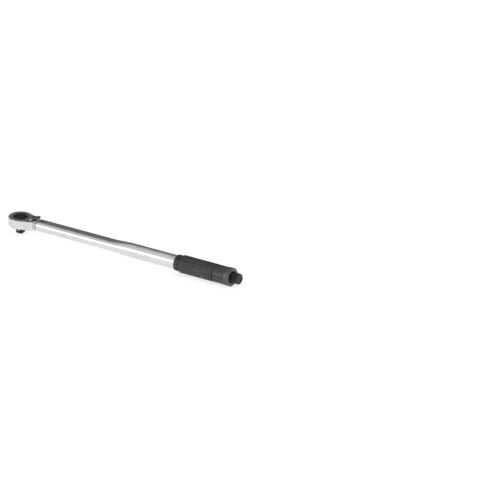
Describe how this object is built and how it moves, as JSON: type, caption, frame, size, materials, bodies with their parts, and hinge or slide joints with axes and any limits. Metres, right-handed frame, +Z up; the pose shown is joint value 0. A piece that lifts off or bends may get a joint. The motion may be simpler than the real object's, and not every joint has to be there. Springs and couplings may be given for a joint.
{
  "type": "torque wrench",
  "caption": "half-inch click torque wrench with pear ratchet head, reversing lever, chrome tube, micrometer handle and lock knob",
  "frame": {"origin": "centre of the square drive's end face", "axes": "+X along the tube toward the handle, +Z up from the drive through the head, +Y to the left"},
  "size_m": [0.475, 0.043, 0.0399],
  "materials": {
    "chrome": "polished chrome plate",
    "satin_chrome": "satin chrome plate",
    "mirror_plate": "bright chrome plate",
    "black_oxide": "black oxide finish",
    "black_cover": "black anodised disc",
    "steel": "bare machined steel",
    "spring_steel": "oiled spring steel",
    "black_grip": "moulded, fine grain",
    "black_metal": "black satin finish",
    "grey_collar": "dark grey anodised",
    "bronze": "sintered bronze"
  },
  "bodies": {
    "tube_body": {"tube": "chrome", "pivot_pin": "steel", "tube_nut": "bronze", "nut_pin_right": "steel", "nut_pin_left": "steel"},
    "head": {"ratchet_head": "satin_chrome", "cover_plate": "mirror_plate", "cover_screw_right": "steel", "cover_screw_left": "steel", "gear_cover": "black_cover", "neck_ring": "chrome", "pawl_pin": "steel"},
    "gear": {"drive_gear": "black_oxide", "detent_spring": "spring_steel"},
    "ball": {"detent_ball": "steel"},
    "lever": {"reverse_lever": "steel", "lever_screw": "steel", "plunger_spring": "spring_steel"},
    "plunger": {"pawl_plunger": "steel"},
    "rocker": {"pawl": "steel"},
    "thrust": {"thrust_plunger": "steel"},
    "toggle": {"toggle_block": "steel"},
    "carrier": {"spring_seat": "steel", "thrust_ball": "steel", "main_spring": "spring_steel"},
    "handle": {"adjusting_screw": "steel", "handle_bush": "steel", "bush_screws": "steel", "handle_sleeve": "black_metal", "thimble": "black_metal", "grip": "black_grip", "grip_lug_ring": "black_grip", "end_collar": "grey_collar"},
    "lock_slider": {"lock_washer": "steel"},
    "knob": {"lock_knob": "black_metal", "lock_stud": "steel"}
  },
  "joints": [
    {"name": "click_pivot", "type": "hinge", "parent": "tube_body", "child": "head", "pos_m": [0.046, 0, 0], "axis": [0, 0, 1], "range_deg": [0, 1.5], "stiffness_Nm_per_rad": 10, "springref_deg": -5.73, "deforming": ["main_spring"]},
    {"name": "thrust_slide", "type": "slide", "parent": "tube_body", "child": "thrust", "axis": [1, 0, 0], "range_m": [0, 0.0021]},
    {"name": "toggle_tip", "type": "hinge", "parent": "thrust", "child": "toggle", "pos_m": [0.2391, 0.004, 0.0235], "axis": [0, 0, 1], "range_deg": [-15, 0]},
    {"name": "drive_spin", "type": "hinge", "parent": "head", "child": "gear", "pos_m": [0, 0, 0], "axis": [0, 0, 1], "continuous": true},
    {"name": "detent_press", "type": "slide", "parent": "gear", "child": "ball", "axis": [0, 1, 0], "range_m": [0, 0.0011], "stiffness_N_per_m": 1000, "springref_m": -0.001, "deforming": ["detent_spring"]},
    {"name": "reverse_throw", "type": "hinge", "parent": "head", "child": "lever", "pos_m": [0.0222, 0, 0], "axis": [0, 0, 1], "range_deg": [-66, 0]},
    {"name": "pawl_rock", "type": "hinge", "parent": "head", "child": "rocker", "pos_m": [0.0156, 0, 0], "axis": [0, 0, 1], "range_deg": [0, 20]},
    {"name": "plunger_slide", "type": "slide", "parent": "lever", "child": "plunger", "axis": [0.8387, 0.5446, 0], "range_m": [0, 0.0006], "stiffness_N_per_m": 500, "springref_m": -0.0006, "deforming": ["plunger_spring"]},
    {"name": "spring_advance", "type": "slide", "parent": "tube_body", "child": "carrier", "axis": [-1, 0, 0], "range_m": [0, 0.022], "deforming": ["main_spring"]},
    {"name": "handle_turn", "type": "hinge", "parent": "carrier", "child": "handle", "pos_m": [0.345, 0, 0.0235], "axis": [-1, 0, 0], "range_deg": [0, 3960]},
    {"name": "lock_slide", "type": "slide", "parent": "handle", "child": "lock_slider", "axis": [1, 0, 0], "range_m": [0, 0.0025]},
    {"name": "lock_turn", "type": "hinge", "parent": "lock_slider", "child": "knob", "pos_m": [0.4465, 0, 0.0235], "axis": [1, 0, 0], "range_deg": [0, 720]}
  ],
  "couplings": [
    {"joint": "thrust_slide", "follows": "click_pivot", "m_per_rad": 0.0779},
    {"joint": "toggle_tip", "follows": "click_pivot", "ratio": -9.7},
    {"joint": "pawl_rock", "follows": "reverse_throw", "ratio": -0.303},
    {"joint": "handle_turn", "follows": "spring_advance", "rad_per_m": 3141.6},
    {"joint": "lock_turn", "follows": "lock_slide", "rad_per_m": 5026.5}
  ]
}
